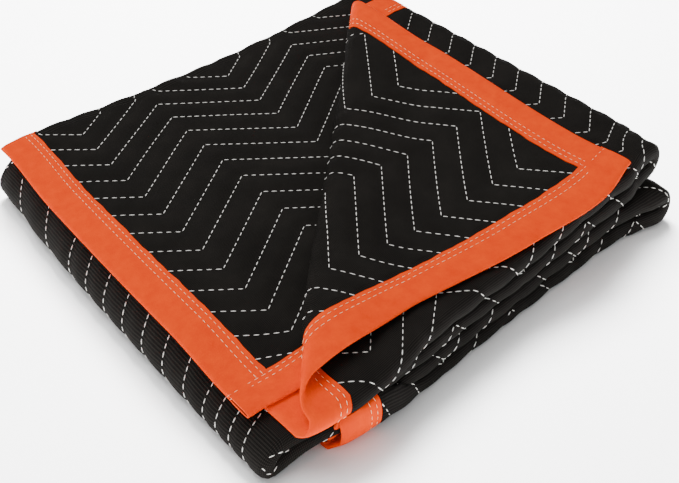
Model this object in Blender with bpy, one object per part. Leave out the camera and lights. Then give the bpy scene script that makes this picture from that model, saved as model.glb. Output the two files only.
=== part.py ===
"""A quilted moving pad, folded into a block: one bound sheet, in quarters along and thirds across.

Metres, +Z up, standing on z = 0, with the origin under the middle of the block.
The sheet has its own coordinates: s runs along its length and t across its width.
Every point of the sheet goes to its place in the block through folded_place(s, t).
"""

import math

import bmesh
import bpy
import numpy as np
from mathutils import Vector

# The finished sheet: cut at 80 by 54 inches, and drawn in a few percent by its quilting
SHEET_LENGTH = 1.950
SHEET_WIDTH = 1.349
CLOTH = 0.0042
LAYER = 0.0055
BUNDLE = 3 * LAYER
TOP_MIDDLE = CLOTH / 2 + 3.5 * BUNDLE - LAYER / 2

# The binding tape, wrapped round each edge of the sheet
TAPE_WIDTH = 0.037
TAPE = 0.0008
GAP = 0.0003
EDGE_CLOTH = CLOTH - 2 * (TAPE + GAP)
INSIDE = TAPE_WIDTH + GAP
SHOULDER = 0.004
FOLD_STEPS = 6
BACK_STEPS = 4

# Where the folds stand, measured from the front corner of the block: x along, y across
TOP_END_X = 0.003
LEFT_FOLD_X = 0.016
RIGHT_FOLD_X = 0.490
FRONT_FOLD_Y = -0.008
BACK_FOLD_Y = 0.447
ORIGIN_X = 0.2528
ORIGIN_Y = 0.2112
SLIP_MIDDLE = 0.019
SLIP_TOP = 0.030
SLIP_REACH = 0.4

# The corner of the top layer, turned back over a crease at 45 degrees
CREASE_X = 0.0258
CREASE_RADIUS = 0.009
CREASE_STEPS = 3
FLAP_SLACK = 0.0015
FLAP_SETTLE = 0.075

# The zigzag quilting: how far apart its rows are, half a wave's length and its height
ROW = 0.0328
HALF_WAVE = 0.092
WAVE_HEIGHT = 0.0675
FIRST_CORNER = 0.076
FIRST_ROW = 0.0273
STITCH_DEPTH = 0.0006
PUFF = 0.0005
FADE = 0.012
BARED_MARGIN = 0.08
LEFT_MARGIN = 0.010

# How the block has settled: each change is a short table over x or y
LINES_X = (0.016, 0.036, 0.250, 0.340, 0.427)
END_LINES_X = (0.090, 0.171)
LINES_Y = (0.08, 0.21, 0.34)
SINK_X = (0.006, 0.016, 0.036)
SINK = (1, 0.75, 0)
SINK_HELD = 0.75
PUFF_X = (0.250, 0.340, 0.427, 0.490)
PUFF_RIGHT = (0, 0.07, 0.20, 0.28)
PUFF_Y = (-0.008, 0.08)
PUFF_FRONT = (0.08, 0)
BOW = (0, -0.004, 0.003, 0.011, 0.0165)
FLAP_OUT_X = (0.090, 0.427)
FLAP_OUT = (-0.004, 0.014)
PUSHED_OUT = (0.010, 0, 0, 0.004)
TONGUE_DROP = 0.008
TONGUE_Y = (0.0185, 0.034)
LOOP_PUFF = 1.2
LOOP_Y = (0.0155, 0.026)
TIP_LIFT = 0.004
TIP_Y = (0.34, 0.45)
SKEW_Y = (0, 0.08, 0.21, 0.34, 0.45)
SKEW = (0, 0.0005, 0.0035, 0.009, 0.016)
CORNER_X = (0.427, 0.490)
CORNER = 0.014

CLOTH_COLOUR = (0.012, 0.011, 0.010, 1)
TAPE_COLOUR = (0.90, 0.11, 0.013, 1)

# Lengths along the sheet where a fold starts and ends
ALONG_RADIUS = 1.5 * LAYER
ALONG_ARC = math.pi * ALONG_RADIUS
RUN = RIGHT_FOLD_X - LEFT_FOLD_X
S_FOLDS = [RIGHT_FOLD_X - TOP_END_X]
for _ in range(2):
    S_FOLDS.append(S_FOLDS[-1] + ALONG_ARC + RUN)
# Lengths across the sheet: the free first third, the back fold, the lower third, the front fold
T_BACK = BACK_FOLD_Y
T_BACK_END = T_BACK + math.pi * LAYER / 2
T_FRONT = T_BACK_END + BACK_FOLD_Y - FRONT_FOLD_Y
T_FRONT_END = T_FRONT + math.pi * LAYER


def soft_step(low, high, value):
    """0 up to low, 1 from high, and smooth between."""
    part = np.clip((value - low) / (high - low), 0, 1)
    return part * part * (3 - 2 * part)


def across(t):
    """y, and the height over the bundle's middle layer, of a line at t."""
    y = np.where(t < T_BACK, t, 0.0)
    up = np.zeros_like(t)
    turn = (t - T_BACK) / (LAYER / 2)
    here = (t >= T_BACK) & (t < T_BACK_END)
    y = np.where(here, BACK_FOLD_Y + LAYER / 2 * np.sin(turn), y)
    up = np.where(here, -LAYER / 2 * (1 - np.cos(turn)), up)
    here = (t >= T_BACK_END) & (t < T_FRONT)
    y = np.where(here, BACK_FOLD_Y - (t - T_BACK_END), y)
    up = np.where(here, -LAYER, up)
    turn = (t - T_FRONT) / LAYER
    here = (t >= T_FRONT) & (t < T_FRONT_END)
    y = np.where(here, FRONT_FOLD_Y - LAYER * np.sin(turn), y)
    up = np.where(here, -LAYER * np.cos(turn), up)
    here = t >= T_FRONT_END
    y = np.where(here, FRONT_FOLD_Y + (t - T_FRONT_END), y)
    up = np.where(here, LAYER, up)
    return y, up


def along(s):
    """x and z of the bundle's middle layer at s, and the direction that is up on it."""
    x = TOP_END_X + s
    z = np.full_like(s, TOP_MIDDLE)
    side = np.zeros_like(s)
    up = np.ones_like(s)
    for fold, start in enumerate(S_FOLDS):
        end = start + ALONG_ARC
        right = 1 if fold % 2 == 0 else -1
        middle_x = RIGHT_FOLD_X if right > 0 else LEFT_FOLD_X
        top = TOP_MIDDLE - fold * BUNDLE
        turn = (s - start) / ALONG_RADIUS
        here = (s >= start) & (s < end)
        x = np.where(here, middle_x + right * ALONG_RADIUS * np.sin(turn), x)
        z = np.where(here, top - ALONG_RADIUS * (1 - np.cos(turn)), z)
        side = np.where(here, np.sin(turn), side)
        up = np.where(here, right * np.cos(turn), up)
        here = s >= end
        x = np.where(here, middle_x - right * (s - end), x)
        z = np.where(here, top - 2 * ALONG_RADIUS, z)
        side = np.where(here, 0.0, side)
        up = np.where(here, -float(right), up)
    return x, z, side, up


def slip(s, t):
    """How far a layer of the top run lies to the right of the free first third."""
    amount = np.interp(t, (T_BACK, T_BACK_END, T_FRONT, T_FRONT_END), (0, SLIP_MIDDLE, SLIP_MIDDLE, SLIP_TOP))
    return amount * np.clip(1 - s / SLIP_REACH, 0, 1)


def turned_back(x, y, z, on_top):
    """The top layer's corner rolled over the crease, where on_top is 1."""
    half_roll = math.pi * CREASE_RADIUS / 2
    past = (y - x + CREASE_X) / math.sqrt(2)
    turn = np.clip((past + half_roll) / CREASE_RADIUS, 0, math.pi)
    beyond = np.maximum(past - half_roll, 0)
    stays = np.minimum(past, -half_roll)
    new = stays + CREASE_RADIUS * np.sin(turn) - beyond
    height = CREASE_RADIUS * (1 - np.cos(turn))
    settle = 2 * CREASE_RADIUS - LAYER - FLAP_SLACK
    height = height - settle * soft_step(0, FLAP_SETTLE, beyond)
    move = np.where(on_top, (new - past) / math.sqrt(2), 0)
    flap = np.where(on_top, turn / math.pi, 0)
    return x - move, y + move, z + np.where(on_top, height, 0), flap


def settled(x, y, z, run, flap):
    """The block's own uneven shape: puffed folds, a sunk left edge, a front that bows, rounded corners.

    Each change bends only at the mesh's own lines, so that no layer's facets cut its neighbour's.
    """
    rest = CLOTH / 2
    held = SINK_HELD * np.clip((z - rest - BUNDLE) / (2 * BUNDLE), 0, 1.2)
    sink = BUNDLE * np.interp(x, SINK_X, SINK) * (1 - held)
    z = np.where(run < 3, z - sink, z)
    z = rest + (z - rest) * (1 + np.interp(x, PUFF_X, PUFF_RIGHT) + np.interp(y, PUFF_Y, PUFF_FRONT))
    near = np.interp(x, END_LINES_X, (1, 0))
    front = np.interp(y, PUFF_Y, (1, 0))
    bow = (1 - flap) * np.interp(x, LINES_X, BOW) - flap * np.interp(x, FLAP_OUT_X, FLAP_OUT)
    y = y + front * (bow - near * np.choose(run, PUSHED_OUT))
    z = np.where(run == 0, z - TONGUE_DROP * near * soft_step(*TONGUE_Y, -y), z)
    puffed = 1 + LOOP_PUFF * near * soft_step(*LOOP_Y, -y)
    z = np.where(run == 3, rest + (z - rest) * puffed, z)
    lift = np.interp(y, TIP_Y, (0, 1)) * np.interp(x, (0, END_LINES_X[1]), (1, 0))
    z = np.where(run == 0, z + TIP_LIFT * lift, z)
    x = x + np.interp(y, SKEW_Y, SKEW) * (1 - x / RIGHT_FOLD_X)
    round_off = np.interp(x, CORNER_X, (0, 1)) * np.interp(y, PUFF_Y, (1, 0))
    x = x - CORNER * round_off
    return x - ORIGIN_X, y - ORIGIN_Y, z


def folded_place(s, t):
    """The middle of the cloth at (s, t), as rows of x, y, z."""
    s = np.asarray(s, float)
    t = np.asarray(t, float)
    y, up = across(t)
    drawn = s + slip(s, t)
    x, z, side, over = along(drawn)
    x = x + up * side
    z = z + up * over
    on_top = (drawn < S_FOLDS[0]) & (t > T_FRONT_END)
    x, y, z, flap = turned_back(x, y, z, on_top)
    middles = [start + ALONG_ARC / 2 for start in S_FOLDS]
    run = sum((drawn > middle).astype(int) for middle in middles)
    return np.stack(settled(x, y, z, run, flap), -1)


def face_direction(s, t, step=0.0002):
    """The cloth's own up direction at (s, t), square to it."""
    s0 = np.clip(s - step, 0, SHEET_LENGTH)
    s1 = np.clip(s + step, 0, SHEET_LENGTH)
    t0 = np.clip(t - step, 0, SHEET_WIDTH)
    t1 = np.clip(t + step, 0, SHEET_WIDTH)
    run_s = folded_place(s1, t) - folded_place(s0, t)
    run_t = folded_place(s, t1) - folded_place(s, t0)
    normal = np.cross(run_s, run_t)
    return normal / np.linalg.norm(normal, axis=-1, keepdims=True)


def to_edge(s, t):
    """The distance to the nearest edge of the sheet."""
    return np.minimum(
        np.minimum(s, SHEET_LENGTH - s),
        np.minimum(t, SHEET_WIDTH - t),
    )


def swing(s):
    """How far a quilting row has swung to the side at s, from 0 at its low corners."""
    return WAVE_HEIGHT * (1 - np.abs(((s - FIRST_CORNER) / HALF_WAVE) % 2 - 1))


def past_crease(s, t):
    """How far a point of the top layer lies beyond the crease."""
    x = TOP_END_X + s + slip(s, t)
    y = FRONT_FOLD_Y + (t - T_FRONT_END)
    return (y - x + CREASE_X) / math.sqrt(2)


def quilted_parts():
    """Where rows show and are cut into the mesh: s from, s to, t from, t to."""
    inner = INSIDE + SHOULDER
    left = S_FOLDS[1]
    return {
        "bared": (inner, S_FOLDS[0], inner, T_BACK),
        "top": (inner, S_FOLDS[0] + ALONG_ARC / 2, T_FRONT_END, SHEET_WIDTH - inner),
        "left fold": (left - LEFT_MARGIN, left + ALONG_ARC + LEFT_MARGIN, T_BACK_END, T_FRONT),
    }


def within(part, s, t):
    """1 inside a quilted part, falling to 0 at its border."""
    s_from, s_to, t_from, t_to = part
    room = np.minimum(np.minimum(s - s_from, s_to - s), np.minimum(t - t_from, t_to - t))
    return np.clip(room / FADE, 0, 1)


def face_heights(s, t):
    """How far the upper and the lower face stand off the cloth's middle."""
    grow = np.clip((to_edge(s, t) - INSIDE) / SHOULDER, 0, 1)
    half = (EDGE_CLOTH + (CLOTH - EDGE_CLOTH) * grow) / 2
    rows = (t - FIRST_ROW - swing(s)) / ROW
    between = 2 * np.abs(rows - np.round(rows))
    relief = between * (PUFF + STITCH_DEPTH) - STITCH_DEPTH
    parts = quilted_parts()
    turned = past_crease(s, t)
    top = within(parts["top"], s, t)
    upper = np.maximum(within(parts["bared"], s, t), within(parts["left fold"], s, t))
    upper = np.maximum(upper, top * (turned < 0))
    lower = top * (turned > 0)
    return half + relief * upper, half + relief * lower


def spread(start, end, count):
    """Evenly spaced places after start, up to end."""
    return [start + (end - start) * (i + 1) / count for i in range(count)]


def wave_corners(start, end):
    """Where the zigzag turns between start and end."""
    first = math.ceil((start - FIRST_CORNER) / HALF_WAVE)
    last = math.floor((end - FIRST_CORNER) / HALF_WAVE)
    return [FIRST_CORNER + i * HALF_WAVE for i in range(first, last + 1)]


def length_lines():
    """The s of each line of the mesh that runs across the sheet, the same x in every run."""
    lines = [0.0, LINES_X[0] - TOP_END_X, INSIDE, INSIDE + SHOULDER]
    lines += [x - TOP_END_X for x in (*END_LINES_X, *LINES_X[2:], RIGHT_FOLD_X)]
    for fold, start in enumerate(S_FOLDS):
        end = start + ALONG_ARC
        lines += spread(start, end, FOLD_STEPS)
        if fold == 0:
            lines += [end + RIGHT_FOLD_X - x for x in reversed(LINES_X)]
        elif fold == 1:
            lines += [end + x - LEFT_FOLD_X for x in (*LINES_X[1:], RIGHT_FOLD_X)]
        else:
            lines += [end + RIGHT_FOLD_X - x for x in reversed((END_LINES_X[1], *LINES_X[2:]))]
    lines += [SHEET_LENGTH - INSIDE - SHOULDER, SHEET_LENGTH - INSIDE, SHEET_LENGTH]
    return lines


def width_lines():
    """The t of each line of the mesh that runs along the sheet, the same y in every layer."""
    lines = [0.0, INSIDE, INSIDE + SHOULDER]
    lines += [*LINES_Y, T_BACK]
    lines += spread(T_BACK, T_BACK_END, BACK_STEPS)
    lines += [T_BACK_END + BACK_FOLD_Y - y for y in reversed(LINES_Y)]
    lines.append(T_FRONT)
    lines += spread(T_FRONT, T_FRONT_END, FOLD_STEPS)
    lines += [T_FRONT_END + y - FRONT_FOLD_Y for y in LINES_Y]
    lines += [SHEET_WIDTH - INSIDE - SHOULDER, SHEET_WIDTH - INSIDE, SHEET_WIDTH]
    return lines


def cut_along(flat, part, through, direction):
    """Cut the faces of a part of the flat sheet along a straight line."""
    s_from, s_to, t_from, t_to = part
    faces = []
    for face in flat.faces:
        middle = face.calc_center_median()
        if s_from < middle.x < s_to and t_from < middle.y < t_to:
            faces.append(face)
    near = set(faces)
    for face in faces:
        near.update(face.edges)
        near.update(face.verts)
    normal = Vector((-direction[1], direction[0], 0)).normalized()
    bmesh.ops.bisect_plane(flat, geom=list(near), plane_co=(*through, 0), plane_no=normal, dist=1e-5)


def cut_crease(flat):
    """Lines along the crease, close together where the layer rolls over."""
    half_roll = math.pi * CREASE_RADIUS / 2
    reach = [half_roll * i / CREASE_STEPS for i in range(-CREASE_STEPS, CREASE_STEPS + 1)]
    reach += spread(half_roll, half_roll + FLAP_SETTLE, CREASE_STEPS)
    part = (0, S_FOLDS[0], T_FRONT_END, SHEET_WIDTH)
    # On the sheet the slip turns the crease a little: it is y = x - CREASE_X where x has slipped
    drawn = 1 - SLIP_TOP / SLIP_REACH
    s_at_start = (CREASE_X + FRONT_FOLD_Y - TOP_END_X - SLIP_TOP) / drawn
    for distance in reach:
        cut_along(flat, part, (s_at_start, T_FRONT_END + distance * math.sqrt(2)), (1, drawn))


def cut_rows(flat):
    """Lines along the quilting rows and between them, corner to corner of the zigzag."""
    for name, part in quilted_parts().items():
        s_from, s_to, t_from, t_to = part
        corners = wave_corners(s_from - HALF_WAVE, s_to)
        lines = math.ceil(2 * (t_to - t_from) / ROW)
        for corner in corners:
            stretch = (max(s_from, corner), min(s_to, corner + HALF_WAVE), t_from, t_to)
            start = float(swing(corner + 1e-6))
            rise = float(swing(corner + HALF_WAVE - 1e-6)) - start
            first = math.floor(2 * (t_from - FIRST_ROW - WAVE_HEIGHT) / ROW)
            for line in range(first, first + lines + math.ceil(4 * WAVE_HEIGHT / ROW)):
                t = FIRST_ROW + line * ROW / 2 + start
                hidden = name == "bared" and t + rise / 2 < corner - BARED_MARGIN
                if not hidden:
                    cut_along(flat, stretch, (corner, t), (HALF_WAVE, rise))


def flat_sheet():
    """The sheet laid flat as a mesh in (s, t), cut along its folds, crease and rows."""
    flat = bmesh.new()
    columns = []
    for s in length_lines():
        columns.append([flat.verts.new((s, t, 0)) for t in width_lines()])
    for left, right in zip(columns, columns[1:]):
        for i in range(len(left) - 1):
            flat.faces.new((left[i], right[i], right[i + 1], left[i + 1]))
    cut_rows(flat)
    cut_crease(flat)
    bmesh.ops.triangulate(flat, faces=flat.faces)
    flat.verts.index_update()
    return flat


def material(name, colour, roughness):
    """A plain Principled finish."""
    finish = bpy.data.materials.new(name)
    finish.use_nodes = True
    shader = finish.node_tree.nodes["Principled BSDF"]
    shader.inputs["Base Color"].default_value = colour
    shader.inputs["Roughness"].default_value = roughness
    shader.inputs["Metallic"].default_value = 0
    return finish


def add_object(name, points, faces, finish):
    """A named closed solid from points and faces, its faces turned outward."""
    mesh = bpy.data.meshes.new(name)
    mesh.from_pydata([tuple(p) for p in points], [], faces)
    shell = bmesh.new()
    shell.from_mesh(mesh)
    bmesh.ops.recalc_face_normals(shell, faces=shell.faces)
    shell.to_mesh(mesh)
    shell.free()
    mesh.materials.append(finish)
    mesh.shade_smooth()
    mesh.set_sharp_from_angle(angle=math.radians(40))
    piece = bpy.data.objects.new(name, mesh)
    bpy.context.collection.objects.link(piece)


def pad_cloth(flat, finish):
    """The quilted sheet in its folds, as one closed solid."""
    places = np.array([v.co[:2] for v in flat.verts])
    s, t = places[:, 0], places[:, 1]
    middle = folded_place(s, t)
    normal = face_direction(s, t)
    upper, lower = face_heights(s, t)
    points = np.concatenate([middle + normal * upper[:, None], middle - normal * lower[:, None]])
    count = len(places)
    faces = []
    for face in flat.faces:
        ring = [v.index for v in face.verts]
        faces.append(ring)
        faces.append([i + count for i in reversed(ring)])
    for edge in flat.edges:
        if edge.is_boundary:
            a, b = (v.index for v in edge.verts)
            faces.append([a, b, b + count, a + count])
    add_object("pad_cloth", points, faces, finish)


def tape_strip(flat, name, edge, holds, finish):
    """One strip of binding, folded over an edge of the sheet as a channel.

    edge is the axis that crosses it (0 for s, 1 for t) and the edge's place on it.
    holds tells, from a face's middle, whether the strip covers that face.
    """
    axis, at = edge
    inward = 1 if at == 0 else -1
    inner_line = at + inward * INSIDE
    faces = [f for f in flat.faces if holds(f.calc_center_median())]
    verts = sorted({v for f in faces for v in f.verts}, key=lambda v: v.index)
    number = {v: i for i, v in enumerate(verts)}
    count = len(verts)
    places = np.array([v.co[:2] for v in verts])
    on_line = np.abs(places[:, axis] - inner_line) < 1e-6
    places[on_line, axis] = at + inward * TAPE_WIDTH
    middle = folded_place(places[:, 0], places[:, 1])
    normal = face_direction(places[:, 0], places[:, 1])
    # Past the sheet's own edge the tape wraps round it
    rim = [i for i, v in enumerate(verts) if abs(v.co[axis] - at) < 1e-6]
    step = places[rim].copy()
    step[:, axis] += inward * 0.0005
    outward = middle[rim] - folded_place(step[:, 0], step[:, 1])
    outward /= np.linalg.norm(outward, axis=1, keepdims=True)
    middle[rim] += outward * GAP
    inner = EDGE_CLOTH / 2 + GAP
    points = [middle + normal * h for h in (CLOTH / 2, inner, -inner, -CLOTH / 2)]
    points.append(middle[rim] + outward * TAPE)
    wrap = {i: 4 * count + j for j, i in enumerate(rim)}
    solid = []
    for face in faces:
        ring = [number[v] for v in face.verts]
        solid += [[i + k * count for i in ring] for k in range(4)]
    chosen = set(faces)
    met = {}
    for side in {e for f in faces for e in f.edges}:
        if sum(f in chosen for f in side.link_faces) != 1:
            continue
        a, b = (number[v] for v in side.verts)
        if a in wrap and b in wrap:
            solid.append([a, b, wrap[b], wrap[a]])
            solid.append([wrap[a], wrap[b], b + 3 * count, a + 3 * count])
            solid.append([a + count, b + count, b + 2 * count, a + 2 * count])
            for i in (a, b):
                met[i] = met.get(i, 0) + 1
        else:
            solid.append([a, b, b + count, a + count])
            solid.append([a + 2 * count, b + 2 * count, b + 3 * count, a + 3 * count])
    for i in (i for i, times in met.items() if times == 1):
        solid.append([i, i + count, wrap[i]])
        solid.append([i + count, i + 2 * count, wrap[i]])
        solid.append([i + 2 * count, i + 3 * count, wrap[i]])
    add_object(name, np.concatenate(points), solid, finish)


def binding(flat, finish):
    """The four strips, each butted on one neighbour and lapping to the sheet's end past the other."""
    far_s = SHEET_LENGTH - INSIDE
    far_t = SHEET_WIDTH - INSIDE
    tape_strip(flat, "binding_long_inner", (1, 0.0), lambda m: m.y < INSIDE and m.x < far_s, finish)
    tape_strip(flat, "binding_end_lower", (0, SHEET_LENGTH), lambda m: m.x > far_s and m.y < far_t, finish)
    tape_strip(flat, "binding_long_outer", (1, SHEET_WIDTH), lambda m: m.y > far_t and m.x > INSIDE, finish)
    tape_strip(flat, "binding_end_upper", (0, 0.0), lambda m: m.x < INSIDE and m.y > INSIDE, finish)


for leftover in list(bpy.data.objects):
    bpy.data.objects.remove(leftover)
sheet = flat_sheet()
pad_cloth(sheet, material("quilted_cloth", CLOTH_COLOUR, 0.85))
binding(sheet, material("binding_tape", TAPE_COLOUR, 0.6))
sheet.free()
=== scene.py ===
# %% [markdown]
# A moving pad is one large quilted sheet, cut 80 by 54 inches, bound with tape on its four edges and folded
# into a block for the shelf. It could be modelled as a block with lines drawn on it, but then no fold would
# be a real one. Here every point of the flat sheet is sent to its place in the folds by one function, and the
# cloth, the tape and the thread all use that function, so they stay together however the block is shaped.

# %% Load the frame
import math

import bmesh
import bpy
import numpy as np
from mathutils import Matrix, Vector


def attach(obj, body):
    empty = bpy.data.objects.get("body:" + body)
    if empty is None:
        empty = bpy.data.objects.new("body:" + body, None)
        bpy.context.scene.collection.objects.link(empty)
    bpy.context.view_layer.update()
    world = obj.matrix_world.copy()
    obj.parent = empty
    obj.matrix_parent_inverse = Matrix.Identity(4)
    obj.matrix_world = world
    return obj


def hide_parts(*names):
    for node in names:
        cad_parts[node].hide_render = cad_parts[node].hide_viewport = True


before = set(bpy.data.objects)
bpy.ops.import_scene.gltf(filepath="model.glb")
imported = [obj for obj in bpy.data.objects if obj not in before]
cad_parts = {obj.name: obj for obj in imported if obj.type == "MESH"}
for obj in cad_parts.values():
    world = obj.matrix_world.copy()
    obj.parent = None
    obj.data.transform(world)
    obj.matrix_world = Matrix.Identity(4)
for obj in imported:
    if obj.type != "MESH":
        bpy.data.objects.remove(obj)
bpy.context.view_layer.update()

# %% [markdown]
# The sheet's own coordinates are s along its length and t across its width, in metres. The sizes are a real
# pad's: cloth and batting about 4 mm thick, tape 37 mm wide on each face, quilting rows 33 mm apart.

# %% The sheet's sizes
SHEET_LENGTH = 1.950
SHEET_WIDTH = 1.349
CLOTH = 0.0042
LAYER = 0.0055
BUNDLE = 3 * LAYER
TOP_MIDDLE = CLOTH / 2 + 3.5 * BUNDLE - LAYER / 2
TAPE_WIDTH = 0.037
TAPE = 0.0008

LEFT_FOLD_X, RIGHT_FOLD_X = 0.016, 0.490
FRONT_FOLD_Y, BACK_FOLD_Y = -0.008, 0.447
ORIGIN_X, ORIGIN_Y = 0.2528, 0.2112
TOP_END_X = 0.003
SLIP_MIDDLE, SLIP_TOP = 0.019, 0.030
SLIP_S, SLIP_SHARE = (0, 0.37, 0.43, 0.60), (1, 0.40, 0.50, 0)

ALONG_RADIUS = 1.5 * LAYER
ALONG_ARC = math.pi * ALONG_RADIUS
RUN = RIGHT_FOLD_X - LEFT_FOLD_X
S_FOLDS = [RIGHT_FOLD_X - TOP_END_X + i * (ALONG_ARC + RUN) for i in range(3)]
T_BACK = BACK_FOLD_Y
T_BACK_END = T_BACK + math.pi * LAYER / 2
T_FRONT = T_BACK_END + BACK_FOLD_Y - FRONT_FOLD_Y
T_FRONT_END = T_FRONT + math.pi * LAYER
print("folds along at", [round(s, 3) for s in S_FOLDS], "across at", round(T_BACK, 3), round(T_FRONT, 3))

# %% [markdown]
# Folding is done in two steps. First the sheet is folded across in thirds, which gives y and how far a layer
# lies above or below the middle one. Then that bundle of three layers is folded lengthways in quarters like
# an accordion, which gives x, z and the direction that is up on the bundle. A fold is a half circle.

# %% Fold across and along
def across(t):
    """y, and the height over the bundle's middle layer, of a line at t."""
    y = np.where(t < T_BACK, t, 0.0)
    up = np.zeros_like(t)
    turn = (t - T_BACK) / (LAYER / 2)
    here = (t >= T_BACK) & (t < T_BACK_END)
    y = np.where(here, BACK_FOLD_Y + LAYER / 2 * np.sin(turn), y)
    up = np.where(here, -LAYER / 2 * (1 - np.cos(turn)), up)
    here = (t >= T_BACK_END) & (t < T_FRONT)
    y = np.where(here, BACK_FOLD_Y - (t - T_BACK_END), y)
    up = np.where(here, -LAYER, up)
    turn = (t - T_FRONT) / LAYER
    here = (t >= T_FRONT) & (t < T_FRONT_END)
    y = np.where(here, FRONT_FOLD_Y - LAYER * np.sin(turn), y)
    up = np.where(here, -LAYER * np.cos(turn), up)
    here = t >= T_FRONT_END
    y = np.where(here, FRONT_FOLD_Y + (t - T_FRONT_END), y)
    up = np.where(here, LAYER, up)
    return y, up


def along(s):
    """x and z of the bundle's middle layer at s, and the direction that is up on it."""
    x = TOP_END_X + s
    z = np.full_like(s, TOP_MIDDLE)
    side = np.zeros_like(s)
    up = np.ones_like(s)
    for fold, start in enumerate(S_FOLDS):
        end = start + ALONG_ARC
        right = 1 if fold % 2 == 0 else -1
        middle_x = RIGHT_FOLD_X if right > 0 else LEFT_FOLD_X
        top = TOP_MIDDLE - fold * BUNDLE
        turn = (s - start) / ALONG_RADIUS
        here = (s >= start) & (s < end)
        x = np.where(here, middle_x + right * ALONG_RADIUS * np.sin(turn), x)
        z = np.where(here, top - ALONG_RADIUS * (1 - np.cos(turn)), z)
        side = np.where(here, np.sin(turn), side)
        up = np.where(here, right * np.cos(turn), up)
        here = s >= end
        x = np.where(here, middle_x - right * (s - end), x)
        z = np.where(here, top - 2 * ALONG_RADIUS, z)
        side = np.where(here, 0.0, side)
        up = np.where(here, -float(right), up)
    return x, z, side, up


def slip(s, t):
    """How far a layer of the top run lies to the right of the free first third."""
    amount = np.interp(t, (T_BACK, T_BACK_END, T_FRONT, T_FRONT_END), (0, SLIP_MIDDLE, SLIP_MIDDLE, SLIP_TOP))
    return amount * np.interp(s, SLIP_S, SLIP_SHARE)


# %% [markdown]
# The top layer's loose corner is turned back over a crease at 45 degrees. Cloth this thick doesn't crease
# sharply: it rolls over a radius of about 9 mm, and then settles onto the layer below.

# %% Turn the corner back
CREASE_X = 0.0258
CREASE_RADIUS = 0.009
FLAP_SLACK = 0.0015
FLAP_SETTLE = 0.075


def soft_step(low, high, value):
    """0 up to low, 1 from high, and smooth between."""
    part = np.clip((value - low) / (high - low), 0, 1)
    return part * part * (3 - 2 * part)


def curve_through(value, places, levels):
    """A smooth curve through a short table, level past both ends."""
    places, levels = np.array(places, float), np.array(levels, float)
    slopes = np.gradient(levels, places)
    slopes[0] = slopes[-1] = 0
    i = np.clip(np.searchsorted(places, value) - 1, 0, len(places) - 2)
    width = places[i + 1] - places[i]
    u = np.clip((value - places[i]) / width, 0, 1)
    start = (1 + 2 * u) * (1 - u) ** 2 * levels[i] + u * (1 - u) ** 2 * width * slopes[i]
    return start + u * u * (3 - 2 * u) * levels[i + 1] + u * u * (u - 1) * width * slopes[i + 1]


def turned_back(x, y, z, on_top):
    """The top layer's corner rolled over the crease, where on_top is 1."""
    half_roll = math.pi * CREASE_RADIUS / 2
    past = (y - x + CREASE_X) / math.sqrt(2)
    turn = np.clip((past + half_roll) / CREASE_RADIUS, 0, math.pi)
    beyond = np.maximum(past - half_roll, 0)
    stays = np.minimum(past, -half_roll)
    new = stays + CREASE_RADIUS * np.sin(turn) - beyond
    height = CREASE_RADIUS * (1 - np.cos(turn))
    settle = 2 * CREASE_RADIUS - LAYER - FLAP_SLACK
    height = height - settle * soft_step(0, FLAP_SETTLE, beyond)
    move = np.where(on_top, (new - past) / math.sqrt(2), 0)
    return x - move, y + move, z + np.where(on_top, height, 0), np.where(on_top, turn / math.pi, 0)


# %% [markdown]
# A folded pad never lies true. The left fold sags to the floor, the folds puff up at the right, the front
# corners are rounded and the layers are skewed a little. Each of these is a short table, read as a smooth
# curve, and it moves every layer at that place, so that none is pushed through another.

# %% Settle the block
SAG_X, SAG = (0.006, 0.016, 0.036), (1, 0.75, 0)
SAG_HELD = 0.75
PUFF_X, PUFF = (0.250, 0.340, 0.427, 0.490), (0, 0.07, 0.20, 0.28)
PUFF_Y, PUFF_FRONT = (-0.008, 0.08), (0.08, 0)
END_X = (0.090, 0.171)
BOW_X, BOW = (0.016, 0.036, 0.250, 0.340, 0.427), (0, -0.004, 0.003, 0.011, 0.0165)
FLAP_OUT_X, FLAP_OUT = (0.090, 0.300, 0.390, 0.450), (-0.004, 0.010, 0.013, -0.004)
PUSHED_OUT = (0.010, 0, 0, 0.007)
FREE_IN, FREE_IN_X = 0.019, (0.10, 0.25)
TONGUE_DROP, TONGUE_Y = 0.003, (0.0185, 0.034)
LOOP_PUFF, LOOP_Y = 1.7, (0.0155, 0.024)
LOOP_LIFT, LOOP_RIGHT = 0.006, 0.007
TIP_LIFT, TIP_Y = 0.004, (0.34, 0.45)
SKEW_Y, SKEW = (0, 0.08, 0.21, 0.34, 0.45), (0, 0.0005, 0.0035, 0.009, 0.016)
CORNER_X, CORNER_Z = (0.427, 0.490), (0.030, 0.050)
CORNER_LEFT, CORNER_BACK = (0.004, 0.010), (-0.008, 0.011)
BULGE, BULGE_X, BULGE_Z = 0.011, (0.004, 0.050), (0.014, 0.046)
FLAP_RIGHT, FLAP_RIGHT_Y, FLAP_RIGHT_REACH = 0.011, (0.08, 0.30), 0.10
BACK_IN, BACK_IN_Y = 0.007, (0.33, 0.45)
SLUMP_X, SLUMP_Y = (0.012, 0.110), (0.014, 0.130)
SLUMP = 0.24


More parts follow.
